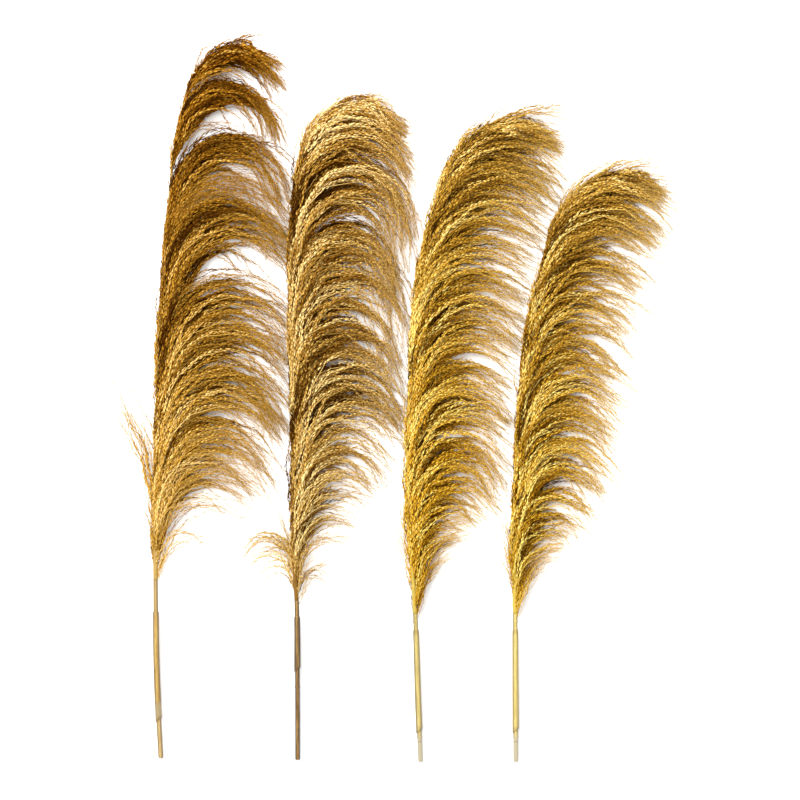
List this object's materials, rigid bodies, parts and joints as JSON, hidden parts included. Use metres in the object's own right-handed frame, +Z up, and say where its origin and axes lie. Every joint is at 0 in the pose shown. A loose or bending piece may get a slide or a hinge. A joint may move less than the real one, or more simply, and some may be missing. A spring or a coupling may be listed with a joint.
{
  "type": "bunch of pampas grass",
  "caption": "Dried pampas grass plumes lying side by side, each with a bare stem, a leaf sheath and a one-sided drooping head of strands.",
  "frame": {"origin": "middle of the bunch's box, on the surface that the plumes lie on", "axes": "+Y from the cut feet to the plume tips, +X the side that the strands fall to, +Z up from the surface"},
  "size_m": [0.9155, 1.1853, 0.0503],
  "materials": {
    "culm": "dry straw, faint ribs and a soft gloss",
    "sheath": "dry leaf sheath, finely ribbed, matte",
    "plumage_amber": "dry feathery strands, deep amber brown",
    "plumage_taupe": "dry feathery strands, gold to taupe",
    "plumage_gold": "dry feathery strands, golden",
    "plumage_straw": "dry feathery strands, golden straw"
  },
  "bodies": {
    "root": {"stem_1": "culm", "sheath_1": "sheath", "axis_1": "plumage_amber", "tuft_1_01": "plumage_amber", "tuft_1_02": "plumage_amber", "tuft_1_03": "plumage_amber", "tuft_1_04": "plumage_amber", "tuft_1_05": "plumage_amber", "tuft_1_06": "plumage_amber", "tuft_1_07": "plumage_amber", "tuft_1_08": "plumage_amber", "tuft_1_09": "plumage_amber", "tuft_1_left": "plumage_amber", "stem_2": "culm", "sheath_2": "sheath", "axis_2": "plumage_taupe", "tuft_2_01": "plumage_taupe", "tuft_2_02": "plumage_taupe", "tuft_2_03": "plumage_taupe", "tuft_2_04": "plumage_taupe", "tuft_2_05": "plumage_taupe", "tuft_2_06": "plumage_taupe", "tuft_2_07": "plumage_taupe", "tuft_2_08": "plumage_taupe", "tuft_2_09": "plumage_taupe", "tuft_2_10": "plumage_taupe", "tuft_2_left": "plumage_taupe", "stem_3": "culm", "sheath_3": "sheath", "axis_3": "plumage_gold", "tuft_3_01": "plumage_gold", "tuft_3_02": "plumage_gold", "tuft_3_03": "plumage_gold", "tuft_3_04": "plumage_gold", "tuft_3_05": "plumage_gold", "tuft_3_06": "plumage_gold", "tuft_3_07": "plumage_gold", "tuft_3_08": "plumage_gold", "tuft_3_09": "plumage_gold", "tuft_3_10": "plumage_gold", "tuft_3_11": "plumage_gold", "stem_4": "culm", "sheath_4": "sheath", "axis_4": "plumage_straw", "tuft_4_01": "plumage_straw", "tuft_4_02": "plumage_straw", "tuft_4_03": "plumage_straw", "tuft_4_04": "plumage_straw", "tuft_4_05": "plumage_straw", "tuft_4_06": "plumage_straw", "tuft_4_07": "plumage_straw", "tuft_4_08": "plumage_straw", "tuft_4_09": "plumage_straw", "tuft_4_10": "plumage_straw", "tuft_4_11": "plumage_straw"}
  },
  "joints": []
}
